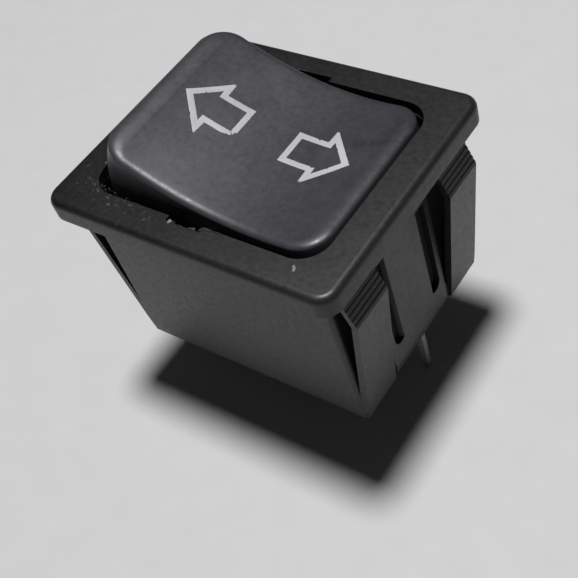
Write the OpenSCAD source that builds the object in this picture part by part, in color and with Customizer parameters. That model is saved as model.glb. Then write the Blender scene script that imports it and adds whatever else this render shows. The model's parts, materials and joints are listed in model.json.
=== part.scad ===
// Two-pole rocker switch for a panel cutout, with a see-saw changeover contact in each pole.
// Origin at the centre of the bezel's underside. X runs along the rocker, Z points out of the panel.

/* [Bezel] */
// Length of the bezel along X
bezel_l = 31.4; // [31:0.1:33]
// Width of the bezel along Y
bezel_w = 25.4; // [24.8:0.1:27]
// Thickness of the bezel
bezel_t = 2.1; // [2:0.05:2.3]
// Radius of the bezel's corners seen from above
bezel_corner_r = 1.8; // [1.2:0.1:2.2]
// Radius of the bezel's soft top edge
bezel_edge_r = 0.7; // [0.4:0.1:1]

/* [Opening] */
// Length of the mouth around the rocker
mouth_l = 25; // [24.8:0.1:25.2]
// Width of the mouth around the rocker
mouth_w = 19.4; // [19.2:0.1:19.8]
// Radius of the mouth's corners
mouth_corner_r = 2.7; // [2:0.1:3.2]
// Depth of the mouth below the bezel's face
mouth_depth = 1.1; // [0.8:0.1:1.4]
// Length of the assembly notch in each long side
notch_l = 3.8; // [3:0.1:4.5]
// Depth of the notch into the bezel
notch_depth = 0.6; // [0.4:0.1:0.7]
// Place of the notches along X
notch_x = -0.7; // [-1:0.1:0]

/* [Body] */
// Length of the body between its end panels
body_l = 26.8; // [26.8:0.1:27.4]
// Width of the body
body_w = 21; // [21:0.1:21.6]
// Depth of the body below the panel
body_depth = 18.5; // [18:0.1:19]
// Radius of the body's upright corners
body_corner_r = 0.6; // [0.4:0.1:0.8]
// Reach of each latch tongue beyond the body's centre
latch_reach = 15.5; // [15.2:0.1:15.8]
// Number of grip ribs on a tongue's ramp
ramp_ribs = 7; // [3:1:8]

/* [Rocker] */
// Width of the rocker
rocker_w = 18; // [17.8:0.1:18.1]
// Length of the rocker at its pivot
rocker_l = 24.4; // [24.2:0.05:24.4]
// Radius of the rocker's round ends
rocker_end_r = 15.7; // [14.5:0.1:16]
// Height of the rocker's middle above its pivot
rocker_h = 4.2; // [4:0.1:4.4]
// Depth of the hollow in the rocker's face
rocker_hollow = 2.2; // [2:0.1:2.3]
// Radius of the rocker's corners seen from above
rocker_corner_r = 2.8; // [2.6:0.1:3]
// Radius of the round noses between the rocker's face and its ends
rocker_nose_r = 0.9; // [0.6:0.1:1.2]
// Radius of the rocker's long top edges
rocker_edge_r = 0.4; // [0.2:0.05:0.8]
// Tilt of the rocker from level, each way
tilt = 12.6; // [12:0.1:12.6]

/* [Contacts] */
// Distance of each pole from the middle plane
pole_y = 4.2; // [4.1:0.05:4.3]
// Distance of each contact from the lever's axis
contact_x = 6.2; // [6:0.1:6.3]
// Length of the pins below the body
pin_l = 6.75; // [5:0.05:9]
// Place of the end pins along X
end_pin_x = 12.1; // [12:0.05:12.15]
// Place of the end pins along Y
end_pin_y = 0.9; // [0.6:0.05:1.1]

/* [Hidden] */
$fn = 64;
tiny = 0.01;
over = 1;
far = 60;

// Poles
pole_a_y = -pole_y;
pole_b_y = pole_y;

// Rocker
pivot_z = bezel_t - 3.2;
rocker_wall = 1;
rocker_skirt_z = -1.5;
hollow_half_l = 10.92;
face_r = (pow(hollow_half_l, 2) + pow(rocker_hollow, 2)) / (2 * rocker_hollow);
face_centre_z = rocker_h + face_r;
rim_depth = 10;
end_centre_x = rocker_end_r - rocker_l / 2;
room_top_z = rocker_h + rocker_hollow - rocker_wall - 0.2;
trunnion_r = 1.25;
trunnion_fit = 0.05;
trunnion_reach = 10.05;
web_inset = 0.5;
web_z = -1.1;
guide_r = 2.3;
guide_z = -3.4;
guide_bore_r = 1.27;
guide_top_z = 3.1;
web_t = 0.8;

// Arrows, placed in the rocker's own frame
arrow_centre = [-0.2, 0.73];
arrow_tip_x = 8.5;
arrow_barb = [5.36, 3.41];
arrow_neck = [5.28, 1.84];
arrow_tail = [2.33, 1.84];
arrow_line = 0.58;
ink_gap = 0.01;
ink_t = 0.08;

// Plungers and springs, placed along the rocker's axis
tip_drop = 6.3;
tip_r = 1.2;
plunger_shoulder_z = -0.9;
plunger_spigot_r = 0.55;
plunger_spigot_z = 0.9;
spring_wire_r = 0.14;
spring_mean_r = 0.85;
spring_turns = 5;
spring_sides = 6;
spring_steps = 14;

// Levers: the trough's centre lies this far above the lever's axis
lever_z = pivot_z - tip_drop - 2.05;
trough_rise = 4.15;
trough_r = 3.35;
lever_t = 0.8;
lever_half_l = 7;
lever_ratio = 5 / 9;
lever_w = 4.2;
lever_arm_z = 0.4;
arm_inner_x = 1.2;
waist_half_l = 0.9;
waist_half_w = 1.2;

// Contacts
contact_r = 1.2;
moving_contact_z = -0.1;
fixed_contact_z = -0.9;
fixed_contact_h = 0.75;

// Terminals
strip_t = 0.7;
bar_half_w = 5.6;
bar_inner_x = 4.9;
bar_outer_x = 7.5;
bar_top_z = lever_z + fixed_contact_z - fixed_contact_h;
post_t = 0.8;
post_half_w = 1.9;
horn_inner_y = 1.3;
horn_rise = 1.4;
post_gap = 0.05;
pin_x_t = 0.7;
pin_y_t = 0.6;
pin_tip = 0.15;
pin_z = -body_depth - pin_l;
leg_half_w = 1.2;

// Base plate
base_t = 1.8;
base_top_z = base_t - body_depth;
base_half_l = 11.9;
base_half_w = 9.7;
base_tab_half_l = 12.8;
base_tab_half_w = 2.5;
base_gap = 0.05;
boss_half_l = 2.2;
boss_half_w = 2.6;
boss_h = 1.6;
channel_z = base_top_z - 0.9;

// Cavity and outer walls of the housing
cavity_r = rocker_l / 2 + 0.4;
cavity_half_w = 9.4;
cavity_half_l = 11.6;
cavity_corner_r = 2.4;
cavity_step_z = -5.9;
cavity_foot_z = -6.6;
end_wall_x = 13.2;
notch_floor_z = bezel_t - 1.7;
panel_half_w = 3.1;
panel_slope = 0.4;
groove_w = 1.05;
groove_depth = 0.6;
groove_top_z = -3.9;
groove_end_z = -14.3;
rib_half_w = 4.85;
foot_in = 0.2;
side_foot_in = 0.1;
foot_rise = 1.1;
trunnion_hole_reach = 10.15;
// Gussets: place across, height below the bezel and reach
gusset_w = 0.35;
gussets = [[2.6, 3.7, 0.25], [3.4, 2.9, 0.3], [4.3, 2.9, 0.3]];

// Latch tongues
tongue_in_y = 5.4;
tongue_out_y = 10.2;
tongue_t = 0.6;
tongue_foot_x = 13.6;
tongue_knee_z = -3.95;
tongue_top = [14.15, -0.5];
tongue_root_z = -16.3;
tongue_end_t = [0.35, 0.3];
rib_rise = 0.05;
recess_x = 12.9;
recess_y = 9.8;

// Colours
shell_black = [0.11, 0.115, 0.12];
cap_black = [0.15, 0.15, 0.16];
ink_grey = [0.74, 0.74, 0.75];
carrier_black = [0.1, 0.1, 0.1];
plunger_white = [0.86, 0.85, 0.8];
steel = [0.66, 0.67, 0.69];
brass = [0.78, 0.62, 0.3];
tin = [0.62, 0.62, 0.6];
silver = [0.82, 0.82, 0.8];

function lerp(a, b, t) = a + (b - a) * t;

// Outline of a rectangle with round corners, centred on the origin
module round_rect(l, w, r) {
    square([l, w - 2 * r], center = true);
    square([l - 2 * r, w], center = true);
    for (sx = [-1, 1], sy = [-1, 1])
        translate([sx * (l / 2 - r), sy * (w / 2 - r)])
            circle(r);
}

// Side view of a plate whose top edges are round
module soft_profile(l, t, r) {
    translate([-l / 2, 0])
        square([l, t - r]);
    translate([-l / 2 + r, 0])
        square([l - 2 * r, t]);
    for (s = [-1, 1])
        translate([s * (l / 2 - r), t - r])
            circle(r);
}

// Extrudes a side view drawn in X and Z along Y, centred on y
module along_y(w, y = 0) {
    translate([0, y + w / 2, 0])
        rotate([90, 0, 0])
            linear_extrude(w)
                children();
}

module box(x0, x1, y0, y1, z0, z1) {
    translate([x0, y0, z0])
        cube([x1 - x0, y1 - y0, z1 - z0]);
}

// ---- Housing: bezel, body and latch tongues are one moulding ----

module bezel() {
    along_y(bezel_w - 2 * bezel_corner_r)
        soft_profile(bezel_l, bezel_t, bezel_edge_r);
    rotate([0, 0, 90])
        along_y(bezel_l - 2 * bezel_corner_r)
            soft_profile(bezel_w, bezel_t, bezel_edge_r);
    for (sx = [-1, 1], sy = [-1, 1])
        translate([sx * (bezel_l / 2 - bezel_corner_r), sy * (bezel_w / 2 - bezel_corner_r), 0])
            rotate_extrude()
                intersection() {
                    soft_profile(2 * bezel_corner_r, bezel_t, bezel_edge_r);
                    square([bezel_corner_r, bezel_t]);
                }
}

// Side view of a wall that leans in slightly along its foot
module foot_profile(half, lean) {
    polygon([[-half, bezel_t / 2], [-half, foot_rise - body_depth], [lean - half, -body_depth],
             [half - lean, -body_depth], [half, foot_rise - body_depth], [half, bezel_t / 2]]);
}

module body_block() {
    intersection() {
        translate([0, 0, -body_depth])
            linear_extrude(body_depth + bezel_t / 2)
                round_rect(2 * end_wall_x, body_w, body_corner_r);
        along_y(body_w + 2 * over)
            foot_profile(end_wall_x, foot_in);
        rotate([0, 0, 90])
            along_y(body_l + 2 * over)
                foot_profile(body_w / 2, side_foot_in);
    }
    along_y(2 * rib_half_w)
        foot_profile(body_l / 2, foot_in);
}

// Shallow recess behind each latch tongue, which gives it room to bend
module tongue_recesses() {
    for (sx = [0, 1], sy = [0, 1])
        mirror([sx, 0, 0])
            mirror([0, sy, 0])
                box(recess_x, end_wall_x + over, rib_half_w, recess_y, tongue_root_z, 0);
}

// Blind slots that part the middle panel of each end from its ribs, with a sloped inner side
module end_grooves() {
    floor_x = body_l / 2 - groove_depth;
    out_x = body_l / 2 + groove_depth;
    in_y = panel_half_w - 2 * panel_slope;
    out_y = panel_half_w + groove_w;
    round_r = (out_y - in_y) / 2;
    for (sx = [0, 1], sy = [0, 1])
        mirror([sx, 0, 0])
            mirror([0, sy, 0])
                intersection() {
                    translate([0, 0, groove_end_z - round_r])
                        linear_extrude(groove_top_z - groove_end_z + round_r)
                            polygon([[floor_x, panel_half_w], [out_x, in_y], [out_x, out_y],
                                     [floor_x, out_y]]);
                    union() {
                        box(floor_x, out_x, in_y, out_y, groove_end_z, groove_top_z);
                        translate([floor_x, in_y + round_r, groove_end_z])
                            rotate([0, 90, 0])
                                cylinder(r = round_r, h = 2 * groove_depth);
                    }
                }
}

// Points up the ramp of a tongue, with small saw-tooth ribs
function ramp_points() =
    let (a = [latch_reach, tongue_knee_z], d = tongue_top - a, n = [-d[1], d[0]] / norm(d))
    [for (i = [0 : ramp_ribs - 1], p = [
        a + d * (i + 0.2) / ramp_ribs,
        a + d * (i + 0.35) / ramp_ribs - n * rib_rise,
        a + d * (i + 0.75) / ramp_ribs - n * rib_rise,
        a + d * (i + 0.9) / ramp_ribs]) p];

module tongue_profile() {
    root_x = recess_x - tongue_t;
    polygon(concat(
        [[root_x, -body_depth], [tongue_foot_x - foot_in, -body_depth],
         [tongue_foot_x, foot_rise - body_depth], [latch_reach, tongue_knee_z]],
        ramp_points(),
        [tongue_top, tongue_top - tongue_end_t, [latch_reach - tongue_t, tongue_knee_z],
         [tongue_foot_x - tongue_t, tongue_root_z], [root_x, tongue_root_z]]));
}

module latch_tongues() {
    for (sx = [0, 1], sy = [-1, 1])
        mirror([sx, 0, 0])
            along_y(tongue_out_y - tongue_in_y, sy * (tongue_in_y + tongue_out_y) / 2)
                tongue_profile();
}

// Small gussets where the end panels meet the bezel
module end_gussets() {
    for (sx = [0, 1], sy = [-1, 1], g = gussets)
        mirror([sx, 0, 0])
            along_y(gusset_w, sy * g[0])
                polygon([[body_l / 2 - groove_depth, 0], [body_l / 2 - groove_depth, -g[1]],
                         [body_l / 2, -g[1]], [body_l / 2 + g[2], 2 * g[2] - g[1]],
                         [body_l / 2 + g[2], 0]]);
}

module mouth() {
    translate([0, 0, bezel_t - mouth_depth])
        linear_extrude(mouth_depth + over)
            round_rect(mouth_l, mouth_w, mouth_corner_r);
    box(notch_x - notch_l / 2, notch_x + notch_l / 2,
        -mouth_w / 2 - notch_depth, mouth_w / 2 + notch_depth, notch_floor_z, bezel_t + over);
}

module cavity() {
    intersection() {
        translate([0, 0, pivot_z])
            rotate([90, 0, 0])
                cylinder(r = cavity_r, h = 2 * cavity_half_w, center = true, $fn = 128);
        translate([0, 0, cavity_foot_z])
            linear_extrude(bezel_t - mouth_depth - cavity_foot_z + tiny)
                round_rect(2 * cavity_r, 2 * cavity_half_w, cavity_corner_r);
    }
    translate([0, 0, base_top_z - over])
        linear_extrude(cavity_step_z - base_top_z + over)
            round_rect(2 * cavity_half_l, 2 * cavity_half_w, cavity_corner_r);
}

module base_seat() {
    box(-base_half_l - base_gap, base_half_l + base_gap, -base_half_w - base_gap,
        base_half_w + base_gap, -body_depth - over, base_top_z);
    box(-base_tab_half_l - base_gap, base_tab_half_l + base_gap, -base_tab_half_w - base_gap,
        base_tab_half_w + base_gap, -body_depth - over, base_top_z);
}

module housing() {
    color(shell_black)
        difference() {
            union() {
                bezel();
                difference() {
                    body_block();
                    tongue_recesses();
                    end_grooves();
                }
                latch_tongues();
                end_gussets();
            }
            mouth();
            cavity();
            base_seat();
            translate([0, 0, pivot_z])
                rotate([90, 0, 0])
                    cylinder(r = trunnion_r + trunnion_fit, h = 2 * trunnion_hole_reach, center = true);
        }
}

// ---- Base plate that carries the terminals ----

module base_plate() {
    color(carrier_black)
        difference() {
            union() {
                box(-base_half_l, base_half_l, -base_half_w, base_half_w, -body_depth, base_top_z);
                box(-base_tab_half_l, base_tab_half_l, -base_tab_half_w, base_tab_half_w,
                    -body_depth, base_top_z);
                for (s = [-1, 1]) {
                    translate([s * (bar_inner_x + bar_outer_x - strip_t) / 2, 0, base_top_z])
                        linear_extrude(bar_top_z - strip_t - base_top_z)
                            square([bar_outer_x - strip_t - bar_inner_x, 2 * bar_half_w], center = true);
                    box(-boss_half_l, boss_half_l, s * pole_y - boss_half_w, s * pole_y + boss_half_w,
                        base_top_z, base_top_z + boss_h);
                }
            }
            for (s = [-1, 1]) {
                box(-post_t / 2 - base_gap, post_t / 2 + base_gap,
                    s * pole_y - post_half_w - base_gap, s * pole_y + post_half_w + base_gap,
                    base_top_z, base_top_z + boss_h + over);
                box(-pin_x_t / 2 - base_gap, pin_x_t / 2 + base_gap, s * pole_y - pin_y_t / 2 - base_gap,
                    s * pole_y + pin_y_t / 2 + base_gap, -body_depth - over, base_top_z + over);
                mirror([s > 0 ? 0 : 1, 0, 0]) {
                    box(bar_outer_x - strip_t - base_gap, base_tab_half_l + over, -leg_half_w - base_gap,
                        leg_half_w + base_gap, channel_z, base_top_z + over);
                    box(end_pin_x - pin_x_t / 2 - base_gap, end_pin_x + pin_x_t / 2 + base_gap,
                        end_pin_y - pin_y_t / 2 - base_gap, end_pin_y + pin_y_t / 2 + base_gap,
                        -body_depth - over, channel_z + over);
                }
            }
        }
}

// ---- Rocker ----

// The nose at the right end touches the end's arc inside and the face's arc outside
nose_from_end = rocker_end_r - rocker_nose_r;
nose_from_face = face_r + rocker_nose_r;
centres_apart = norm([end_centre_x, face_centre_z]);
nose_along = (pow(nose_from_end, 2) - pow(nose_from_face, 2) + pow(centres_apart, 2)) / (2 * centres_apart);
nose_aside = sqrt(pow(nose_from_end, 2) - pow(nose_along, 2));
nose_at = [-end_centre_x, 0] + nose_along * [end_centre_x, face_centre_z] / centres_apart
    + nose_aside * [face_centre_z, -end_centre_x] / centres_apart;
nose_on_end = lerp([-end_centre_x, 0], nose_at, rocker_end_r / nose_from_end);
nose_on_face = lerp(nose_at, [0, face_centre_z], rocker_nose_r / nose_from_face);

// Side view of the rocker: round ends, hollow face and round noses between them
module rocker_profile() {
    difference() {
        intersection() {
            translate([-end_centre_x, 0])
                circle(rocker_end_r, $fn = 128);
            translate([end_centre_x, 0])
                circle(rocker_end_r, $fn = 128);
            translate([-far, rocker_skirt_z])
                square([2 * far, far]);
        }
        translate([0, face_centre_z])
            circle(face_r, $fn = 256);
        for (s = [0, 1])
            mirror([s, 0])
                difference() {
                    polygon([nose_at, nose_on_end, [rocker_end_r, face_centre_z / 2], nose_on_face]);
                    translate(nose_at)
                        circle(rocker_nose_r);
                }
    }
}

// Side walls and their round top edges, swept about the axis of the hollow face
module rocker_sides() {
    translate([0, 0, face_centre_z])
        rotate([90, 0, 0])
            rotate_extrude($fn = 256)
                translate([face_r + rim_depth, 0])
                    rotate(90)
                        soft_profile(rocker_w, rim_depth, rocker_edge_r);
}

// A round end and its corners, swept about the centre of the end's arc
module rocker_end(side, inset = 0) {
    translate([-side * end_centre_x, 0, 0])
        rotate([90, 0, 0])
            rotate_extrude($fn = 128)
                intersection() {
                    round_rect(2 * (rocker_end_r - inset), rocker_w - 2 * inset, rocker_corner_r - inset);
                    translate([0, -rocker_w])
                        square([2 * rocker_end_r, 2 * rocker_w]);
                }
}

module rocker_skin() {
    intersection() {
        along_y(rocker_w + 2 * over)
            rocker_profile();
        rocker_sides();
        rocker_end(-1);
        rocker_end(1);
    }
}

module rocker_room() {
    intersection() {
        rocker_end(-1, rocker_wall);
        rocker_end(1, rocker_wall);
        difference() {
            box(-far, far, -far, far, rocker_skirt_z - over, room_top_z);
            translate([0, 0, face_centre_z])
                rotate([90, 0, 0])
                    cylinder(r = face_r + rocker_wall, h = far, center = true, $fn = 128);
        }
    }
}

module rocker() {
    color(cap_black)
        on_rocker()
            difference() {
                union() {
                    difference() {
                        rocker_skin();
                        rocker_room();
                    }
                    box(-web_t / 2, web_t / 2, web_inset - rocker_w / 2, rocker_w / 2 - web_inset,
                        web_z, rocker_h - web_inset);
                    for (y = [pole_a_y, pole_b_y])
                        translate([0, y, guide_z])
                            cylinder(r = guide_r, h = rocker_h - web_inset - guide_z);
                    for (s = [0, 1])
                        mirror([0, s, 0])
                            translate([0, rocker_w / 2 - rocker_wall, 0])
                                rotate([-90, 0, 0])
                                    cylinder(r = trunnion_r, h = trunnion_reach - rocker_w / 2 + rocker_wall);
                }
                for (y = [pole_a_y, pole_b_y])
                    translate([0, y, guide_z - over])
                        cylinder(r = guide_bore_r, h = guide_top_z - guide_z + over);
            }
}

// Places what belongs to the rocker at its resting tilt, with the left end raised
module on_rocker() {
    translate([0, 0, pivot_z])
        rotate([0, tilt, 0])
            children();
}

// ---- Arrows printed on the rocker ----

// Outline of an arrow that points along +X, anticlockwise from its tip
arrow_outline = [[arrow_tip_x, 0], arrow_barb, arrow_neck, arrow_tail,
                 [arrow_tail[0], -arrow_tail[1]], [arrow_neck[0], -arrow_neck[1]],
                 [arrow_barb[0], -arrow_barb[1]]];

// Unit normal to the left of the way from p to q
function left_of(p, q) = [p[1] - q[1], q[0] - p[0]] / norm(q - p);

// The same outline moved in by d, with sharp corners
function inset(pts, d) =
    [for (i = [0 : len(pts) - 1])
        let (n0 = left_of(pts[(i + len(pts) - 1) % len(pts)], pts[i]),
             n1 = left_of(pts[i], pts[(i + 1) % len(pts)]))
        pts[i] + (n0 + n1) * d / (1 + n0 * n1)];

// Outline arrow that points along +X, as a thin layer on the hollow face
module printed_arrow(side) {
    color(ink_grey)
        on_rocker()
            intersection() {
                translate([arrow_centre[0], arrow_centre[1], 0])
                    mirror([side < 0 ? 1 : 0, 0, 0])
                        linear_extrude(rocker_h + rocker_hollow)
                            difference() {
                                polygon(arrow_outline);
                                polygon(inset(arrow_outline, arrow_line));
                            }
                translate([0, 0, face_centre_z])
                    rotate([90, 0, 0])
                        difference() {
                            cylinder(r = face_r - ink_gap, h = far, center = true, $fn = 128);
                            cylinder(r = face_r - ink_gap - ink_t, h = far + over, center = true, $fn = 128);
                        }
            }
}

module left_arrow() printed_arrow(-1);
module right_arrow() printed_arrow(1);

// ---- Plungers and springs ----

module plunger(y) {
    color(plunger_white)
        on_rocker()
            translate([0, y, 0]) {
                translate([0, 0, -tip_drop])
                    sphere(r = tip_r);
                translate([0, 0, -tip_drop])
                    cylinder(r = tip_r, h = plunger_shoulder_z + tip_drop);
                translate([0, 0, plunger_shoulder_z - tiny])
                    cylinder(r = plunger_spigot_r, h = plunger_spigot_z - plunger_shoulder_z);
            }
}

module plunger_a() plunger(pole_a_y);
module plunger_b() plunger(pole_b_y);

// Coil swept along a helix between the plunger's shoulder and the end of its bore
module spring(y) {
    z0 = plunger_shoulder_z + spring_wire_r + tiny;
    z1 = guide_top_z - spring_wire_r - tiny;
    count = spring_turns * spring_steps;
    pts = [for (i = [0 : count])
        let (a = 360 * i / spring_steps, t = i / count)
        for (j = [0 : spring_sides - 1])
            let (b = 360 * j / spring_sides, r = spring_mean_r + spring_wire_r * cos(b))
            [r * cos(a), r * sin(a), lerp(z0, z1, t) + spring_wire_r * sin(b)]];
    sides = [for (i = [0 : count - 1], j = [0 : spring_sides - 1])
        let (a = i * spring_sides + j, b = i * spring_sides + (j + 1) % spring_sides)
        [a, b, b + spring_sides, a + spring_sides]];
    cap0 = [for (j = [spring_sides - 1 : -1 : 0]) j];
    cap1 = [for (j = [0 : spring_sides - 1]) count * spring_sides + j];
    color(steel)
        on_rocker()
            translate([0, y, 0])
                polyhedron(pts, concat(sides, [cap0, cap1]), convexity = 12);
}

module spring_a() spring(pole_a_y);
module spring_b() spring(pole_b_y);

// ---- See-saw levers and their contacts, tilted the other way by a set share of the rocker's tilt ----

module on_lever(y) {
    translate([0, y, lever_z])
        rotate([0, -tilt * lever_ratio, 0])
            children();
}

module contact_lever(y) {
    cradle_x = sqrt(pow(trough_rise, 2) - pow(trough_rise - lever_arm_z, 2));
    color(brass)
        on_lever(y)
            difference() {
                union() {
                    for (s = [-1, 1])
                        translate([s * (lever_half_l + arm_inner_x) / 2, 0, lever_arm_z + lever_t / 2])
                            cube([lever_half_l - arm_inner_x, lever_w, lever_t], center = true);
                    intersection() {
                        translate([0, 0, trough_rise])
                            rotate([90, 0, 0])
                                cylinder(r = trough_rise, h = lever_w, center = true, $fn = 96);
                        box(-cradle_x, cradle_x, -far, far, -over, lever_arm_z + lever_t);
                    }
                }
                translate([0, 0, trough_rise])
                    rotate([90, 0, 0])
                        cylinder(r = trough_r, h = lever_w + 2 * over, center = true, $fn = 96);
                for (s = [-1, 1])
                    translate([0, s * (waist_half_w + lever_w / 2), 0])
                        cube([2 * waist_half_l, lever_w, far], center = true);
            }
}

module contact_lever_a() contact_lever(pole_a_y);
module contact_lever_b() contact_lever(pole_b_y);

module moving_contact(y, side) {
    color(silver)
        on_lever(y)
            translate([side * contact_x, 0, moving_contact_z])
                cylinder(r = contact_r, h = lever_arm_z - moving_contact_z);
}

module moving_contact_a_left() moving_contact(pole_a_y, -1);
module moving_contact_a_right() moving_contact(pole_a_y, 1);
module moving_contact_b_left() moving_contact(pole_b_y, -1);
module moving_contact_b_right() moving_contact(pole_b_y, 1);

module fixed_contact(y, side) {
    dome_r = 2.4;
    color(silver)
        translate([side * contact_x, y, bar_top_z])
            intersection() {
                cylinder(r = contact_r, h = fixed_contact_h);
                translate([0, 0, fixed_contact_h - dome_r])
                    sphere(r = dome_r);
            }
}

module fixed_contact_a_left() fixed_contact(pole_a_y, -1);
module fixed_contact_a_right() fixed_contact(pole_a_y, 1);
module fixed_contact_b_left() fixed_contact(pole_b_y, -1);
module fixed_contact_b_right() fixed_contact(pole_b_y, 1);

// ---- Terminals ----

// Square pin with a chamfered point, whose upper end is at z_top
module terminal_pin(x, y, z_top) {
    intersection() {
        box(x - pin_x_t / 2, x + pin_x_t / 2, y - pin_y_t / 2, y + pin_y_t / 2, pin_z, z_top);
        translate([x, 0, 0])
            along_y(pin_y_t + over, y)
                polygon([[-pin_x_t / 2, z_top], [-pin_x_t / 2, pin_z + 2 * pin_tip],
                         [pin_tip - pin_x_t / 2, pin_z], [pin_x_t / 2 - pin_tip, pin_z],
                         [pin_x_t / 2, pin_z + 2 * pin_tip], [pin_x_t / 2, z_top]]);
    }
}

module common_terminal(y) {
    post_top_z = lever_z - post_gap;
    color(tin) {
        box(-post_t / 2, post_t / 2, y - post_half_w, y + post_half_w, base_top_z, post_top_z);
        for (s = [-1, 1])
            box(-post_t / 2, post_t / 2, y + (s < 0 ? -post_half_w : horn_inner_y),
                y + (s < 0 ? -horn_inner_y : post_half_w), post_top_z - tiny, lever_z + horn_rise);
        terminal_pin(0, y, base_top_z + tiny);
    }
}

module common_terminal_a() common_terminal(pole_a_y);
module common_terminal_b() common_terminal(pole_b_y);

// Bent strip: contact bar, upright leg, foot in the base plate's channel and pin
module end_terminal(side) {
    color(tin)
        mirror([side < 0 ? 1 : 0, 0, 0]) {
            box(bar_inner_x, bar_outer_x, -bar_half_w, bar_half_w, bar_top_z - strip_t, bar_top_z);
            box(bar_outer_x - strip_t, bar_outer_x, -leg_half_w, leg_half_w, channel_z, bar_top_z - tiny);
            box(bar_outer_x - strip_t, end_pin_x + pin_x_t / 2, -leg_half_w, leg_half_w,
                channel_z, channel_z + strip_t);
            terminal_pin(end_pin_x, end_pin_y, channel_z + tiny);
        }
}

module end_terminal_left() end_terminal(-1);
module end_terminal_right() end_terminal(1);

housing();
base_plate();
rocker();
left_arrow();
right_arrow();
plunger_a();
plunger_b();
spring_a();
spring_b();
contact_lever_a();
contact_lever_b();
moving_contact_a_left();
moving_contact_a_right();
moving_contact_b_left();
moving_contact_b_right();
common_terminal_a();
common_terminal_b();
end_terminal_left();
end_terminal_right();
fixed_contact_a_left();
fixed_contact_a_right();
fixed_contact_b_left();
fixed_contact_b_right();
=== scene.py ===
"""Two-pole rocker switch: finishes, fine meshes of its visible pieces, dirt, painted shade and sheen, floor,
light and camera.
"""
import json
import math
import random

import bmesh
import bpy
from mathutils import Matrix, Vector, noise

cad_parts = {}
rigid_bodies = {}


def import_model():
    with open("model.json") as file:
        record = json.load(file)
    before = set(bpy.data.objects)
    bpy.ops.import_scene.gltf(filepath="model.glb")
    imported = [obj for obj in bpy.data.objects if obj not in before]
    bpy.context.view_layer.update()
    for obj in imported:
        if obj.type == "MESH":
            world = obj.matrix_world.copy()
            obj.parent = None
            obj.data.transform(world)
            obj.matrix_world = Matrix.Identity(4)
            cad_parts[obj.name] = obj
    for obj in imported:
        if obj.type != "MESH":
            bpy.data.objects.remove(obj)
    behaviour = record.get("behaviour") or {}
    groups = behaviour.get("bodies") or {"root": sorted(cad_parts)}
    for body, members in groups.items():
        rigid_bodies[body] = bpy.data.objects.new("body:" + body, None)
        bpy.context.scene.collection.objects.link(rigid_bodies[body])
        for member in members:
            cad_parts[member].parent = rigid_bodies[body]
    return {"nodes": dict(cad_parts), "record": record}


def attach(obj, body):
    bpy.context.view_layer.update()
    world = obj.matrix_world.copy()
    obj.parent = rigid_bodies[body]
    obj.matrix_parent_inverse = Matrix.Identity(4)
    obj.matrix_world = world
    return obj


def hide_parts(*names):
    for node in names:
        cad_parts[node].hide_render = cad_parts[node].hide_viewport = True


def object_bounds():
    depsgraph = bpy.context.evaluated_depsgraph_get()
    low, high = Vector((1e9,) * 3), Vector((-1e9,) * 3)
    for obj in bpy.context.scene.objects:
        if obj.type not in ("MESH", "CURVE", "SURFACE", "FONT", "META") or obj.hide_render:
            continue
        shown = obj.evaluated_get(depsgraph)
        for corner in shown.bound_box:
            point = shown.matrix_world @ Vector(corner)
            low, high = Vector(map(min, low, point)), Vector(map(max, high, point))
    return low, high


for old in list(bpy.data.objects):
    bpy.data.objects.remove(old)

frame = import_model()
CAD_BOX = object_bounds()

MM = 0.001  # sizes of the switch are written in millimetres, and the scene is in metres


# ---------------------------------------------------------------- mesh helpers

def placed(name, data):
    """Makes an object of some data and puts it in the scene."""
    made = bpy.data.objects.new(name, data)
    bpy.context.scene.collection.objects.link(made)
    return made


def mesh_of(bm, name="work"):
    mesh = bpy.data.meshes.new(name)
    bm.to_mesh(mesh)
    bm.free()
    return mesh


def new_piece(name, bm, material, body, smooth_deg):
    """Turns a bmesh into a piece with smooth shading that rides on a body."""
    piece = placed(name, mesh_of(bm, name))
    piece.data.materials.append(material)
    shade(piece.data, smooth_deg)
    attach(piece, body)
    return piece


def shade(mesh, smooth_deg):
    """Smooth shading, with edges sharper than the given angle kept sharp."""
    bm = bmesh.new()
    bm.from_mesh(mesh)
    limit = math.radians(smooth_deg)
    for face in bm.faces:
        face.smooth = True
    for edge in bm.edges:
        edge.smooth = len(edge.link_faces) == 2 and edge.calc_face_angle(0.0) < limit
    bm.to_mesh(mesh)
    bm.free()


# ---------------------------------------------------------------- the rocker's own frame

HALF_W = 9.0            # half width
HALF_L = 12.2           # half length at the pivot
END_R = 15.7            # round ends, each about its own centre
END_CENTRE = END_R - HALF_L
FACE_Z = 4.2            # middle of the hollow face, above the pivot
HOLLOW = 2.2            # depth of the hollow
HOLLOW_HALF_L = 10.92   # half length of the hollow
FACE_R = (HOLLOW_HALF_L ** 2 + HOLLOW ** 2) / (2 * HOLLOW)
FACE_CENTRE = FACE_Z + FACE_R

TILT_JOINT = next(joint for joint in frame["record"]["behaviour"]["joints"] if joint["name"] == "rocker_tilt")
PIVOT = Vector(TILT_JOINT["pos_m"])
REST_TILT = Matrix.Rotation(math.radians(TILT_JOINT["range_deg"][1] / 2), 3, "Y")


def on_rocker(x, y, z):
    """World place of a point of the rocker at rest, given from its pivot."""
    return PIVOT + REST_TILT @ Vector((x, y, z)) * MM


def face_z(x):
    """Height of the hollow face."""
    return FACE_CENTRE - math.sqrt(FACE_R ** 2 - x * x)


# ---------------------------------------------------------------- materials

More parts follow.
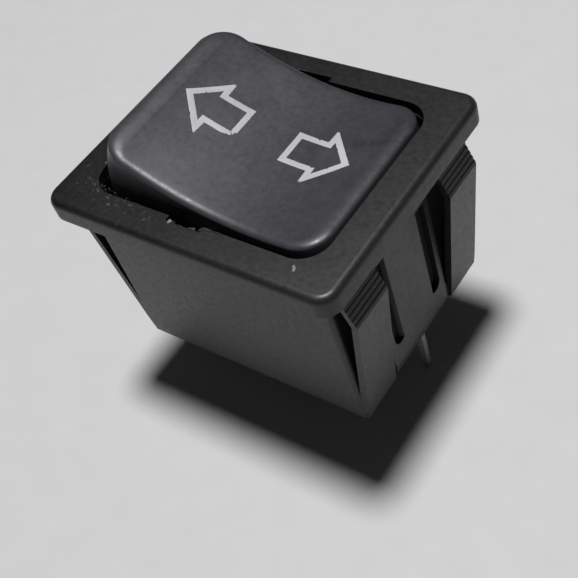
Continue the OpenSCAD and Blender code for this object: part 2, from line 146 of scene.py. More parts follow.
class Nodes:
    """A short way to write a material's node tree."""

    MIX_UNDER, MIX_OVER, MIX_COLOUR = 6, 7, 2  # colour sockets of a mix node, which share their names

    def __init__(self, name):
        self.material = bpy.data.materials.new(name)
        self.material.use_nodes = True
        self.tree = self.material.node_tree
        self.tree.nodes.clear()
        self.shader = self.add("ShaderNodeBsdfPrincipled")
        output = self.add("ShaderNodeOutputMaterial")
        self.link(self.shader.outputs["BSDF"], output.inputs["Surface"])
        self.place = self.add("ShaderNodeTexCoord").outputs["Object"]

    def add(self, kind, **values):
        """Adds a node. Each value is for a setting, or else for an input, of that name."""
        node = self.tree.nodes.new(kind)
        for key, value in values.items():
            if hasattr(node, key):
                setattr(node, key, value)
            else:
                node.inputs[key].default_value = value
        return node

    def link(self, output, target):
        self.tree.links.new(output, target)

    def finish(self, socket, output):
        """Feeds one of the shader's own sockets."""
        self.link(output, self.shader.inputs[socket])

    def axes(self):
        """X, Y and Z of the place, in metres."""
        node = self.add("ShaderNodeSeparateXYZ")
        self.link(self.place, node.inputs["Vector"])
        return node.outputs

    def noise(self, scale, detail=4.0, roughness=0.55):
        node = self.add("ShaderNodeTexNoise", Scale=scale, Detail=detail, Roughness=roughness)
        self.link(self.place, node.inputs["Vector"])
        return node.outputs["Fac"]

    def ramp(self, value, *stops):
        """Colours for a value, between two stops of a position and a colour."""
        node = self.add("ShaderNodeValToRGB")
        self.link(value, node.inputs["Fac"])
        for element, (position, color) in zip(node.color_ramp.elements, stops):
            element.position = position
            element.color = (*color, 1.0)
        return node.outputs["Color"]

    def bump(self, height, strength, distance_mm):
        node = self.add("ShaderNodeBump", Strength=strength, Distance=distance_mm * MM)
        self.link(height, node.inputs["Height"])
        self.finish("Normal", node.outputs["Normal"])

    def combine(self, operation, *terms):
        """Arithmetic on node outputs and plain numbers."""
        node = self.add("ShaderNodeMath", operation=operation)
        for socket, term in zip(node.inputs, terms):
            if isinstance(term, float):
                socket.default_value = term
            else:
                self.link(term, socket)
        return node.outputs[0]

    def product(self, first, *others):
        for other in others:
            first = self.combine("MULTIPLY", first, other)
        return first

    def highest(self, first, *others):
        for other in others:
            first = self.combine("MAXIMUM", first, other)
        return first

    def across(self, value, at_none, at_full):
        """A value turned into 0 on one side of a range and 1 on the other, and even in between."""
        node = self.add("ShaderNodeMapRange")
        node.inputs["From Min"].default_value = at_none
        node.inputs["From Max"].default_value = at_full
        self.link(value, node.inputs["Value"])
        return node.outputs["Result"]

    def across_mm(self, value, at_none, at_full):
        return self.across(value, at_none * MM, at_full * MM)

    def near(self, place, reach_mm):
        """1 at a place and 0 beyond its reach."""
        gap = self.add("ShaderNodeVectorMath", operation="DISTANCE")
        self.link(self.place, gap.inputs[0])
        gap.inputs[1].default_value = place
        return self.across_mm(gap.outputs["Value"], reach_mm, 0.0)

    def blend(self, amount, under, over):
        """Lays a plain colour over a node's colour by an amount."""
        node = self.add("ShaderNodeMix", data_type="RGBA")
        self.link(amount, node.inputs["Factor"])
        self.link(under, node.inputs[self.MIX_UNDER])
        node.inputs[self.MIX_OVER].default_value = (*over, 1.0)
        return node.outputs[self.MIX_COLOUR]


def grey(value):
    return (value, value, value)


def plastic(name, dark, light, roughness, grain=9000.0, grain_mm=0.02):
    """Moulded plastic: cloudy colour, uneven gloss and a fine grain. Gives its nodes, colour and gloss."""
    n = Nodes(name)
    colour = n.ramp(n.noise(260.0, 8.0, 0.62), (0.3, dark), (0.72, light))
    n.finish("Base Color", colour)
    rough = n.ramp(n.noise(1900.0, 6.0, 0.6), (0.3, grey(roughness - 0.07)), (0.7, grey(roughness + 0.08)))
    n.finish("Roughness", rough)
    n.bump(n.noise(grain, 3.0, 0.65), 0.5, grain_mm)
    return n, colour, rough


def plain_plastic(*finish):
    return plastic(*finish)[0].material


def metal(name, dark, light, roughness, metallic=1.0):
    """Stamped metal with a tarnished colour and a dull, uneven surface."""
    n = Nodes(name)
    n.shader.inputs["Metallic"].default_value = metallic
    n.finish("Base Color", n.ramp(n.noise(900.0, 5.0), (0.3, dark), (0.7, light)))
    streak = n.noise(4000.0, 3.0)
    n.finish("Roughness", n.ramp(streak, (0.3, grey(roughness - 0.08)), (0.7, grey(roughness + 0.08))))
    n.bump(streak, 0.2, 0.01)
    return n.material


BEZEL_TOP = 2.1
SHEEN_FADE = (1.5, 2.05)           # painted sheen on the bezel top: none at the first height, all of it at the second
SHEEN_ALONG = (-16.0, 13.0)        # the same along X, bent by the power on the next line
SHEEN_BEND = 1.6
SHEEN_ASIDE = (30.0, -12.0)        # the same along Y
SHEEN_AMOUNT = 0.065
DUSTY_PLACES = [(-11.5, -9.3), (-7.0, -10.6)]  # by the near left corner of the mouth
DUSTY_REACH = 3.4
DUST_AMOUNT = 0.3
STRAY_DUST_AMOUNT = 0.12
FILM_AMOUNT = 0.008
MOUTH_SHADE_FADE = (1.9, 1.5)           # painted shade inside the mouth: none at the first height, all of it at the second
MOUTH_SHADE_HALF = {"X": 13.0, "Y": 10.1}
MOUTH_SHADE_EDGE = 0.1
RECESS_SHADE_REACH = 3.0                # how far a point looks for walls that make it a hollow, which gets painted shade
# occlusion at which the painted shade of a recess starts, and at which it is full
RECESS_SHADE_OPEN, RECESS_SHADE_DEEP = 0.78, 0.4


def housing_plastic():
    """Black plastic with dust by one corner of the mouth, a painted sheen on the bezel top towards its near
    right, and painted shade inside the mouth and in the gaps.
    """
    n, colour, rough = plastic("housing_black", (0.007, 0.007, 0.008), (0.014, 0.014, 0.015), 0.4)
    axes = n.axes()
    cloudy = n.across(n.noise(420.0, 6.0, 0.65), -0.6, 0.7)
    # Painted sheen: the bezel top is lightened towards its near right corner, as a highlight would light it;
    # the lighter colour is then shared with the real dust.
    painted_sheen = n.product(n.across_mm(axes["Z"], *SHEEN_FADE),
                     n.combine("POWER", n.across_mm(axes["X"], *SHEEN_ALONG), SHEEN_BEND),
                     n.across_mm(axes["Y"], *SHEEN_ASIDE), SHEEN_AMOUNT, cloudy)

    dusty = n.highest(*(n.near(Vector((x, y, BEZEL_TOP)) * MM, DUSTY_REACH) for x, y in DUSTY_PLACES))
    specks = n.across(n.noise(2300.0, 2.0, 0.5), 0.66, 0.74)
    patches = n.across(n.noise(190.0, 3.0), 0.45, 0.62)
    often = n.combine("ADD", n.product(patches, STRAY_DUST_AMOUNT), n.product(dusty, DUST_AMOUNT))
    dust = n.product(specks, often)
    film = n.product(dusty, cloudy, FILM_AMOUNT)
    dust_and_sheen = n.combine("ADD", n.highest(painted_sheen, dust), film)

    # Painted shade: below the bezel top inside the mouth, and in every recess that the ambient occlusion finds,
    # the colour turns near black and the surface rough.
    inside = n.across_mm(axes["Z"], *MOUTH_SHADE_FADE)
    for axis, half in MOUTH_SHADE_HALF.items():
        off = n.combine("ABSOLUTE", axes[axis])
        inside = n.product(inside, n.across_mm(off, half + MOUTH_SHADE_EDGE, half))
    hollow = n.add("ShaderNodeAmbientOcclusion", samples=8, only_local=True, Distance=RECESS_SHADE_REACH * MM)
    painted_shade = n.highest(inside, n.across(hollow.outputs["AO"], RECESS_SHADE_OPEN, RECESS_SHADE_DEEP))

    n.finish("Roughness", n.blend(painted_shade, n.blend(dust, rough, grey(0.85)), grey(0.95)))
    n.finish("Base Color", n.blend(painted_shade, n.blend(dust_and_sheen, colour, (0.3, 0.3, 0.29)), grey(0.004)))
    return n.material


SCUFFS = [(7.4, 3.2), (7.9, 3.4), (8.8, 3.7), (9.3, 3.9), (9.8, 4.1)]  # their middles on the rocker's face
SCUFF_REACH = 0.65
SCUFF_AMOUNT = 1.3
END_SHEEN_ALONG = (2.0, -12.0)       # painted sheen on the raised end: none at the first X, most at the second
END_SHEEN_AMOUNT = 0.04


def rocker_plastic():
    """Black plastic with a faint violet cast, a painted sheen at the raised end, and a few dull scuffs near the
    other.
    """
    n, colour, rough = plastic("rocker_black", (0.032, 0.03, 0.037), (0.055, 0.053, 0.061), 0.39,
                               11000.0, 0.014)
    streaks = n.across(n.noise(1500.0, 4.0, 0.7), 0.3, 0.55)
    spots = n.highest(*(n.near(on_rocker(x, y, face_z(x)), SCUFF_REACH) for x, y in SCUFFS))
    scuffs = n.product(spots, streaks, SCUFF_AMOUNT)
    # Painted sheen: the raised end is lightened towards grey, as the highlight there would light it.
    painted_end_sheen = n.product(n.across_mm(n.axes()["X"], *END_SHEEN_ALONG), END_SHEEN_AMOUNT)
    body = n.blend(painted_end_sheen, colour, (0.3, 0.29, 0.31))
    n.finish("Base Color", n.blend(scuffs, body, (0.012, 0.012, 0.014)))
    n.finish("Roughness", n.blend(scuffs, rough, grey(0.6)))
    return n.material


HOUSING = housing_plastic()
CAP = rocker_plastic()
CARRIER = plain_plastic("carrier_black", (0.014, 0.014, 0.015), (0.022, 0.022, 0.023), 0.5)
NYLON = plain_plastic("plunger_white", (0.68, 0.66, 0.58), (0.8, 0.78, 0.72), 0.35, 6000.0, 0.01)
INK = plain_plastic("arrow_ink", (0.42, 0.42, 0.44), (0.56, 0.56, 0.58), 0.6)
CRUMB = plain_plastic("dust_crumb", (0.16, 0.16, 0.15), (0.3, 0.3, 0.28), 0.8)
DUST = plain_plastic("dust_fine", (0.03, 0.03, 0.029), (0.065, 0.065, 0.062), 0.8)
TORN = plain_plastic("housing_torn", (0.016, 0.016, 0.016), (0.038, 0.038, 0.038), 0.6)
TIN = metal("tinned_strip", (0.26, 0.26, 0.25), (0.36, 0.36, 0.34), 0.5, 0.5)
BRASS = metal("lever_brass", (0.6, 0.42, 0.18), (0.78, 0.58, 0.27), 0.3)
STEEL = metal("spring_steel", (0.5, 0.5, 0.52), (0.68, 0.68, 0.7), 0.25)
SILVER = metal("contact_silver", (0.68, 0.68, 0.66), (0.85, 0.85, 0.83), 0.28)

BY_SLOT = {"housing_plastic": HOUSING, "rocker_plastic": CAP, "print_ink": INK,
           "carrier_plastic": CARRIER, "plunger_nylon": NYLON, "spring_steel": STEEL,
           "lever_brass": BRASS, "terminal_tin": TIN, "contact_silver": SILVER}


def dress_cad_nodes():
    for row in frame["record"]["subparts"]:
        for holder in frame["nodes"][row["node"]].material_slots:
            holder.material = BY_SLOT[row["material_slot"]]


# ---------------------------------------------------------------- rocker cap

CORNER_R = 2.8          # corners seen from above
CORNER_Y = HALF_W - CORNER_R
CORNER_OUT = END_R - CORNER_R
END_PLAY = 0.2          # how much further the lowered end reaches
SIDE_ROLL = (0.8, 0.4)  # where the face starts to roll over to a long side, and how far down it goes
END_ROLL = {-1: (2.1, 0.85), 1: (1.5, 0.55)}  # the same at the raised end and the lowered end
WALL = 1.0              # thickness of the shell
SKIRT_Z = -1.5          # lower rim of the skirt
CAP_SMOOTH_DEG = 35.0

SIDE_STATIONS = 44
CORNER_STATIONS = 10
ACROSS = 26
EDGE_STEPS = 9
WALL_ROWS = 6

# Guide tubes, web and trunnions inside the cap, as in the CAD
POLE_Y = 4.2
GUIDE_R = 2.3
GUIDE_LOW = -3.4
BORE_R = 1.27
BORE_TOP = 3.1
WEB_HALF_T = 0.4
WEB_HALF_W = 8.5
WEB_LOW = -1.1
INSIDE_TOP = 3.7        # where web and tubes end, inside the wall under the face
TRUNNION_R = 1.25
TRUNNION_END = 10.05


def drawn_x(x):
    """The cap reaches a little further at its lowered end, and not at all at the raised one."""
    return x + END_PLAY * (1.0 + x / HALF_L) / 2


def edge_place(out, sunk):
    """X and Z where a wall at a distance from its end's centre meets the face, sunk by some depth."""
    apart = math.hypot(END_CENTRE, FACE_CENTRE)
    along = (out ** 2 - (FACE_R + sunk) ** 2 + apart ** 2) / (2 * apart)
    aside = math.sqrt(out ** 2 - along ** 2)
    return ((along * END_CENTRE + aside * FACE_CENTRE) / apart - END_CENTRE,
            (along * FACE_CENTRE - aside * END_CENTRE) / apart)


class Column:
    """One line down the wall: it sits at a share of the side, or at an angle round a corner."""

    def __init__(self, side_x, angle, share, across):
        self.side_x = side_x      # which end, for a corner
        self.angle = angle        # 0 faces the end, a quarter turn faces the side; None on the side
        self.share = share        # place along the side, -1 to 1
        self.across = across      # place across the width, -1 to 1
        to_end = 0.0 if angle is None else math.cos(angle) ** 2
        end_roll = END_ROLL.get(side_x, SIDE_ROLL)
        self.on_face, self.on_wall = (s + (e - s) * to_end for s, e in zip(SIDE_ROLL, end_roll))

    def half_width(self, inset):
        if self.angle is None:
            return HALF_W - inset
        return CORNER_Y + (CORNER_R - inset) * math.sin(self.angle)

    def out(self, inset):
        if self.angle is None:
            return CORNER_OUT
        return CORNER_OUT + (CORNER_R - inset) * math.cos(self.angle)

    def edge(self, inset, sunk):
        """The top edge of the wall moved in by inset and the face sunk by a depth."""
        along = self.share if self.angle is None else self.side_x
        x = drawn_x(edge_place(self.out(inset), sunk)[0] * along)
        z = FACE_CENTRE - math.sqrt((FACE_R + sunk) ** 2 - x * x)
        return Vector((x, self.across * self.half_width(inset), z))

    def rolled(self, t):
        """The rolled edge, from the face at 0 to the wall at 1, as a quarter of an ellipse."""
        corner = self.edge(0.0, 0.0)
        face, wall = self.edge(self.on_face, 0.0), self.edge(0.0, self.on_wall)
        turn = t * math.pi / 2
        return corner + (face - corner) * (1.0 - math.sin(turn)) + (wall - corner) * (1.0 - math.cos(turn))

    def wall(self, inset, sunk, t):
        """Down the wall moved in by inset, from its edge with the sunk face at 0 to the skirt at 1."""
        reach = self.out(inset)
        x0, z0 = edge_place(reach, sunk)
        start = math.atan2(z0, x0 + END_CENTRE)
        turn = start + (math.asin(SKIRT_Z / reach) - start) * t
        x, z = reach * math.cos(turn) - END_CENTRE, reach * math.sin(turn)
        y = self.across * self.half_width(inset)
        if self.angle is None:
            top = self.edge(inset, sunk).z
            drop = (z0 - z) / (z0 - SKIRT_Z)
            return Vector((drawn_x(self.share * x), y, top + (SKIRT_Z - top) * drop))
        return Vector((drawn_x(self.side_x * x), y, z))


def stations():
    """End, angle and share of each column, from one end of the rocker to the other."""
    quarter = math.pi / 2
    left = [(-1, quarter * i / CORNER_STATIONS, 0.0) for i in range(CORNER_STATIONS)]
    side = [(0, None, -1.0 + 2.0 * i / SIDE_STATIONS) for i in range(SIDE_STATIONS + 1)]
    right = [(1, angle, share) for _, angle, share in reversed(left)]
    return left + side + right


def rocker_shell():
    """Closed shell with a hollow face, rolled edges, round corners and an open underside."""
    bm = bmesh.new()
    rows = stations()
    shares = [-1.0 + 2.0 * k / ACROSS for k in range(ACROSS + 1)]

    def add(place):
        return bm.verts.new(on_rocker(*place))

    def sheet(edge_of):
        """A grid of points, spread between the edges of each row's two outer columns."""
        edges = [edge_of(Column(*row, 1.0)) for row in rows]
        return [[add((edge.x, edge.y * f, edge.z)) for f in shares] for edge in edges]

    face = sheet(lambda column: column.rolled(0.0))
    under = sheet(lambda column: column.edge(WALL, WALL))
    last, side = len(rows) - 1, ACROSS
    ring = [(last, k) for k in range(side)] + [(i, side) for i in range(last, 0, -1)]
    ring += [(0, k) for k in range(side, 0, -1)] + [(i, 0) for i in range(last)]
    around = [Column(*rows[i], shares[k]) for i, k in ring]

    loops = [[face[i][k] for i, k in ring]]
    for step in range(1, EDGE_STEPS + 1):
        loops.append([add(column.rolled(step / EDGE_STEPS)) for column in around])
    for step in range(1, WALL_ROWS + 1):
        loops.append([add(column.wall(0.0, column.on_wall, step / WALL_ROWS)) for column in around])
    for step in range(WALL_ROWS, 0, -1):
        loops.append([add(column.wall(WALL, WALL, step / WALL_ROWS)) for column in around])
    loops.append([under[i][k] for i, k in ring])

    for upper, lower in zip(loops, loops[1:]):
        for a in range(len(ring)):
            b = (a + 1) % len(ring)
            bm.faces.new((upper[a], lower[a], lower[b], upper[b]))
    for i in range(last):
        for k in range(side):
            bm.faces.new((face[i][k], face[i + 1][k], face[i + 1][k + 1], face[i][k + 1]))
            bm.faces.new((under[i][k], under[i][k + 1], under[i + 1][k + 1], under[i + 1][k]))
    return bm


def rod(bm, radius, start, end):
    """Adds a closed cylinder between two points of the rocker's frame."""
    a, b = on_rocker(*start), on_rocker(*end)
    turn = (b - a).to_track_quat("Z", "Y").to_matrix().to_4x4()
    bmesh.ops.create_cone(bm, cap_ends=True, segments=64, radius1=radius * MM, radius2=radius * MM,
                          depth=(b - a).length, matrix=Matrix.Translation((a + b) / 2) @ turn)


def slab(bm, lo, hi):
    """Adds a closed box of the rocker's frame."""
    for vert in bmesh.ops.create_cube(bm, size=1.0)["verts"]:
        share = vert.co + Vector((0.5, 0.5, 0.5))
        vert.co = on_rocker(*(a + (b - a) * part for a, b, part in zip(lo, hi, share)))


def joined(base, steps):
    """Exact unions and cuts on a bmesh. Each step is an operation, a solid's function and its sizes."""
    holder = placed("work", mesh_of(base))
    tools = []
    for operation, solid, *sizes in steps:
        bm = bmesh.new()
        solid(bm, *sizes)
        tools.append(placed("tool", mesh_of(bm)))
        change = holder.modifiers.new("cut", "BOOLEAN")
        change.operation = operation
        change.object = tools[-1]
        change.solver = "EXACT"
    done = holder.evaluated_get(bpy.context.evaluated_depsgraph_get())
    bm = bmesh.new()
    bm.from_mesh(done.to_mesh())
    for spare in [holder] + tools:
        bpy.data.objects.remove(spare)
    return bm


def make_rocker():
    """The shell with its web, guide tubes, trunnions and bores."""
    steps = [("UNION", slab, (-WEB_HALF_T, -WEB_HALF_W, WEB_LOW), (WEB_HALF_T, WEB_HALF_W, INSIDE_TOP))]
    for y in (-POLE_Y, POLE_Y):
        steps.append(("UNION", rod, GUIDE_R, (0, y, GUIDE_LOW), (0, y, INSIDE_TOP)))
    for s in (-1, 1):
        steps.append(("UNION", rod, TRUNNION_R, (0, s * (HALF_W - WALL / 2), 0), (0, s * TRUNNION_END, 0)))
    for y in (-POLE_Y, POLE_Y):
        steps.append(("DIFFERENCE", rod, BORE_R, (0, y, GUIDE_LOW - 1), (0, y, BORE_TOP)))
    piece = new_piece("rocker_cap", joined(rocker_shell(), steps), CAP, "rocker",
                      CAP_SMOOTH_DEG)
    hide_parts("rocker")


# ---------------------------------------------------------------- arrows printed on the rocker

ARROW_CENTRE = (-0.2, 0.73)
ARROW_TIP = 8.5
ARROW_BARB = (5.36, 3.41)
ARROW_NECK = (5.28, 1.84)
ARROW_TAIL = (2.33, 1.84)
ARROW_LINE = 0.58       # width of the printed line
ARROW_STEP = 0.07       # length of one step along the line
ARROW_UNEVEN = 0.02     # how far the line's edges wander
INK_T = 0.03
INK_SMOOTH_DEG = 60.0
INK_FOOT = -0.03        # the ink starts a hair below the face
# Section of the ink: share across the line, and height as a share of the ink's thickness
INK_SECTION = [(0.0, INK_FOOT), (0.0, 0.6), (0.12, 1.0), (0.5, 1.05), (0.88, 1.0), (1.0, 0.6), (1.0, INK_FOOT)]
TIP, BARB, NECK, TAIL, LOW_TAIL, LOW_NECK, LOW_BARB = range(7)

# Chips in the print: the outline's corner it follows, how far on, its edge, its depth and half length
CHIPS = {
    -1: [(LOW_TAIL, 0.0, "outer", 0.78, 0.07), (LOW_TAIL, 0.3, "outer", 0.2, 0.42),
         (LOW_TAIL, 0.75, "outer", 0.12, 0.34), (TAIL, 3.4, "outer", 0.26, 0.42),
         (TIP, 1.95, "inner", 0.1, 0.16), (LOW_BARB, 2.1, "outer", 0.07, 0.2),
         (BARB, 0.0, "outer", 0.3, 0.12), (LOW_BARB, 0.0, "outer", 0.16, 0.08)],
    1: [(NECK, 0.95, "outer", 0.14, 0.15), (LOW_TAIL, 2.7, "inner", 0.13, 0.16),
        (LOW_BARB, 0.0, "outer", 0.4, 0.16), (BARB, 0.0, "outer", 0.25, 0.12),
        (LOW_BARB, 2.5, "inner", 0.08, 0.2), (TIP, 3.1, "inner", 0.09, 0.2)],
}


def arrow_outline():
    """The corners of an arrow that points along X, anticlockwise from its tip."""
    half = [ARROW_BARB, ARROW_NECK, ARROW_TAIL]
    return [Vector((ARROW_TIP, 0.0))] + [Vector(p) for p in half] + [
        Vector((x, -y)) for x, y in reversed(half)]


def inset_outline(points, distance):
    """An anticlockwise outline moved in, with sharp corners."""
    moved = []
    for i, point in enumerate(points):
        before = (point - points[i - 1]).normalized()
        after = (points[(i + 1) % len(points)] - point).normalized()
        n0, n1 = Vector((-before.y, before.x)), Vector((-after.y, after.x))
        moved.append(point + (n0 + n1) * distance / (1.0 + n0.dot(n1)))
    return moved


def dented(a, b, rng, uneven, outer, chips):
    """The two ends of the ink across the line, moved in by the line's unevenness and its chips."""
    dents = {"outer": rng.uniform(-uneven, uneven), "inner": rng.uniform(-uneven, uneven)}
    for corner, along, edge, depth, half in chips:
        middle = outer[corner] + (outer[(corner + 1) % len(outer)] - outer[corner]).normalized() * along
        dents[edge] += depth * max(0.0, 1.0 - ((a - middle).length / half) ** 3)
    inward = (b - a).normalized()
    return a + inward * dents["outer"], b - inward * dents["inner"]


def make_arrow(name, side, node):
    """A raised line of ink with uneven edges, laid on the hollow face."""
    rng = random.Random(7 + side)
    outer = arrow_outline()
    inner = inset_outline(outer, ARROW_LINE)
    bm = bmesh.new()
    loops = []
    for i in range(len(outer)):
        j = (i + 1) % len(outer)
        steps = round((outer[j] - outer[i]).length / ARROW_STEP)
        for k in range(steps):
            uneven = 0.0 if k == 0 else ARROW_UNEVEN
            a, b = dented(outer[i].lerp(outer[j], k / steps), inner[i].lerp(inner[j], k / steps),
                          rng, uneven, outer, CHIPS[side])
            loop = []
            for share, rise in INK_SECTION:
                at = a.lerp(b, share)
                x = side * at.x + ARROW_CENTRE[0]
                loop.append(bm.verts.new(on_rocker(x, at.y + ARROW_CENTRE[1], face_z(x) + INK_T * rise)))
            loops.append(loop)
    for a, b in zip(loops, loops[1:] + loops[:1]):
        for k in range(len(a)):
            m = (k + 1) % len(a)
            bm.faces.new((a[k], b[k], b[m], a[m]))
    bmesh.ops.recalc_face_normals(bm, faces=bm.faces)
    piece = new_piece(name, bm, INK, "rocker", INK_SMOOTH_DEG)
    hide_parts(node)


# ---------------------------------------------------------------- housing with rounded edges

SAME_PLACE_M = 1e-7     # metres: points this close are one
SAME_FACE_DEG = 0.6     # CAD triangles turned less than this from each other are one face
SHARP_DEG = 28.0        # an edge bent more than this is rounded
EDGE_ROUND = 0.09       # width of the rounding
SHORT_EDGE = 0.3        # an edge stays sharp where it, or one that it meets, is no longer than this
FLAT_SMOOTH_DEG = 21.0
ROUND_SMOOTH_DEG = 60.0


def make_housing():
    """A copy of the CAD housing with its longer sharp edges rounded; it stands for the solid."""
    bm = bmesh.new()
    bm.from_mesh(frame["nodes"]["housing"].data)
    bmesh.ops.remove_doubles(bm, verts=bm.verts, dist=SAME_PLACE_M)
    bmesh.ops.dissolve_limit(bm, angle_limit=math.radians(SAME_FACE_DEG), verts=bm.verts, edges=bm.edges)
    bmesh.ops.dissolve_degenerate(bm, dist=SAME_PLACE_M, edges=bm.edges)

    def is_sharp(edge):
        return len(edge.link_faces) == 2 and edge.calc_face_angle(0.0) > math.radians(SHARP_DEG)

    def has_room(edge):
        near = [other for vert in edge.verts for other in vert.link_edges]
        return min(other.calc_length() for other in near) > SHORT_EDGE * MM

    strip = bm.faces.layers.int.new("strip")  # made before the bevel, because it renews the faces
    chosen = [edge for edge in bm.edges if is_sharp(edge) and has_room(edge)]
    rolled = bmesh.ops.bevel(bm, geom=chosen, offset=EDGE_ROUND * MM, offset_type="OFFSET", segments=2,
                             profile=0.5, affect="EDGES", clamp_overlap=True, miter_outer="SHARP",
                             miter_inner="SHARP")
    for face in rolled["faces"]:
        face[strip] = 1
    piece = new_piece("housing_shell", bm, HOUSING, "housing", FLAT_SMOOTH_DEG)
    smooth_strips(piece.data)
    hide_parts("housing")


def smooth_strips(mesh):
    """Smooth shading inside the rounded edges, so that the flat faces beside them stay flat."""
    bm = bmesh.new()
    bm.from_mesh(mesh)
    strip = bm.faces.layers.int["strip"]
    for edge in bm.edges:
        if len(edge.link_faces) == 2 and all(face[strip] for face in edge.link_faces):
            edge.smooth = edge.calc_face_angle(0.0) < math.radians(ROUND_SMOOTH_DEG)
    bm.faces.layers.int.remove(strip)
    bm.to_mesh(mesh)
    bm.free()


# ---------------------------------------------------------------- dust and torn edges on the bezel

# Middle, length, width and direction in degrees of the larger marks
CRUMBS = [(-2.1, -10.28, 0.45, 0.36, 20), (11.15, -10.5, 0.8, 0.34, -55), (-12.75, -6.7, 0.2, 0.16, 80)]
SMEARS = [(-14.2, -7.6, 0.3, 0.2, 20), (-12.9, -8.8, 0.35, 0.2, -40), (-11.9, -9.3, 0.4, 0.25, -40),
          (-11.0, -9.8, 0.6, 0.25, -35), (-9.5, -10.15, 0.4, 0.2, -20), (-8.9, -10.8, 0.5, 0.3, -10),
          (-8.1, -10.6, 0.3, 0.2, 0), (-6.8, -10.1, 0.5, 0.2, 0), (-4.5, -11.0, 0.35, 0.3, 60)]
TORN_EDGES = [(0.3, -10.24, 0.9, 0.3, 14), (1.65, -9.82, 1.3, 0.26, 2), (-0.9, -10.36, 0.8, 0.12, 0),
              (1.15, -10.1, 0.4, 0.3, 60), (2.9, -9.78, 0.7, 0.14, 0)]
GRAIN_RISE = 0.3        # height of a loose grain, as a share of its width
SMEAR_RISE = 0.03
TORN_RISE = 0.09

# Fine dust, scattered about a line from one point to the other, and kept on the bezel
DUST_FROM, DUST_TO = (-13.2, -8.7), (-3.5, -10.9)
DUST_COUNT = 90
DUST_SPREAD = (0.25, 0.35)
DUST_OUTER_Y = -11.7
DUST_INNER_Y = -10.0    # beside the mouth, at the line's end
DUST_CORNER = 1.1       # how much further in it may lie at the line's start, by the mouth's round corner
MARK_SMOOTH_DEG = 80.0


def flake(bm, rng, x, y, length, width, turn_deg, height):
    """Adds one lumpy grain lying on the bezel."""
    turn = Matrix.Rotation(math.radians(turn_deg), 3, "Z")
    for vert in bmesh.ops.create_icosphere(bm, subdivisions=2, radius=1.0)["verts"]:
        lump = 1.0 + 0.7 * noise.noise(vert.co * 1.9 + Vector((x, y, 0.0)) * 3.0) + rng.uniform(-0.15, 0.15)
        shaped = Vector((vert.co.x * length / 2, vert.co.y * width / 2, vert.co.z * height)) * lump
        vert.co = (Vector((x, y, BEZEL_TOP)) + turn @ shaped) * MM


def scatter_dust(bm, rng):
    """Adds the finest grains."""
    (x0, y0), (x1, y1) = DUST_FROM, DUST_TO
    spread_x, spread_y = DUST_SPREAD
    for _ in range(DUST_COUNT):
        t = rng.random()
        x = x0 + (x1 - x0) * t + rng.gauss(0.0, spread_x)
        y = y0 + (y1 - y0) * t + rng.gauss(0.0, spread_y)
        y = max(DUST_OUTER_Y, min(DUST_INNER_Y + DUST_CORNER * (1.0 - t), y))
        size = rng.uniform(0.03, 0.1)
        flake(bm, rng, x, y, size * rng.uniform(1.0, 3.0), size, rng.uniform(0, 180), size * GRAIN_RISE)


def make_marks():
    """Crumbs, dust and torn edges, in this order, because they share one row of random draws."""
    rng = random.Random(3)
    bm = bmesh.new()
    for x, y, length, width, turn in CRUMBS:
        flake(bm, rng, x, y, length, width, turn, width * GRAIN_RISE)
    new_piece("bezel_crumbs", bm, CRUMB, "housing", MARK_SMOOTH_DEG)
    bm = bmesh.new()
    for mark in SMEARS:
        flake(bm, rng, *mark, SMEAR_RISE)
    scatter_dust(bm, rng)
    new_piece("bezel_dust", bm, DUST, "housing", MARK_SMOOTH_DEG)
    bm = bmesh.new()
    for mark in TORN_EDGES:
        flake(bm, rng, *mark, TORN_RISE)
    new_piece("bezel_burrs", bm, TORN, "housing", MARK_SMOOTH_DEG)


# ---------------------------------------------------------------- floor, light and camera, in metres

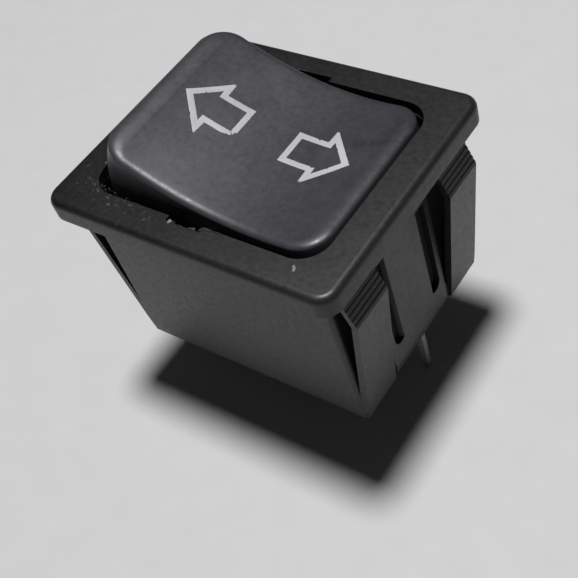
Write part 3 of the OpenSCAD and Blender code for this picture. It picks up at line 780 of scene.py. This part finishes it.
FLOOR_HALF = 3.0
WORLD_STRENGTH = 0.025
LAMP_PLACE = (-0.004, 0.035, 0.55)
LAMP_AIM = (0.0, 0.0, 0.0)
LAMP_SIZE = 0.1
LAMP_POWER = 3.1
CAMERA_PLACE = (0.05413, -0.04682, 0.0614)
CAMERA_TURN_DEG = (40.28, 11.594, 32.306)
LENS = 65.03
SHIFT = (-0.1118, -0.0083)
CLIP = (0.001, 10.0)


def make_floor():
    n = Nodes("floor_white")
    n.finish("Base Color", n.ramp(n.noise(300.0, 5.0), (0.3, grey(0.645)), (0.7, grey(0.665))))
    n.shader.inputs["Roughness"].default_value = 0.7
    mesh = bpy.data.meshes.new("floor")
    corners = [(-1, -1), (1, -1), (1, 1), (-1, 1)]
    mesh.from_pydata([(x * FLOOR_HALF, y * FLOOR_HALF, CAD_BOX[0].z) for x, y in corners], [], [(0, 1, 2, 3)])
    mesh.materials.append(n.material)
    placed("floor", mesh)


def make_light():
    """A faint even world and one round lamp above the object."""
    world = bpy.data.worlds.new("studio")
    bpy.context.scene.world = world
    world.use_nodes = True
    background = world.node_tree.nodes["Background"]
    background.inputs["Color"].default_value = (1.0, 1.0, 1.0, 1.0)
    background.inputs["Strength"].default_value = WORLD_STRENGTH
    data = bpy.data.lights.new("key", "AREA")
    data.shape = "DISK"
    data.size = LAMP_SIZE
    data.energy = LAMP_POWER
    lamp = placed("key", data)
    lamp.location = LAMP_PLACE
    lamp.rotation_mode = "QUATERNION"
    lamp.rotation_quaternion = (Vector(LAMP_AIM) - Vector(LAMP_PLACE)).to_track_quat("-Z", "Y")


def make_camera():
    data = bpy.data.cameras.new("camera")
    data.lens = LENS
    data.sensor_width = 36.0
    data.shift_x, data.shift_y = SHIFT
    data.clip_start, data.clip_end = CLIP
    cam = placed("camera", data)
    cam.location = CAMERA_PLACE
    cam.rotation_euler = [math.radians(a) for a in CAMERA_TURN_DEG]
    bpy.context.scene.camera = cam


# ---------------------------------------------------------------- the scene

dress_cad_nodes()
make_rocker()
make_arrow("arrow_left", -1, "left_arrow")
make_arrow("arrow_right", 1, "right_arrow")
make_housing()
make_marks()
make_floor()
make_light()
make_camera()
bpy.context.scene.view_settings.view_transform = "Standard"
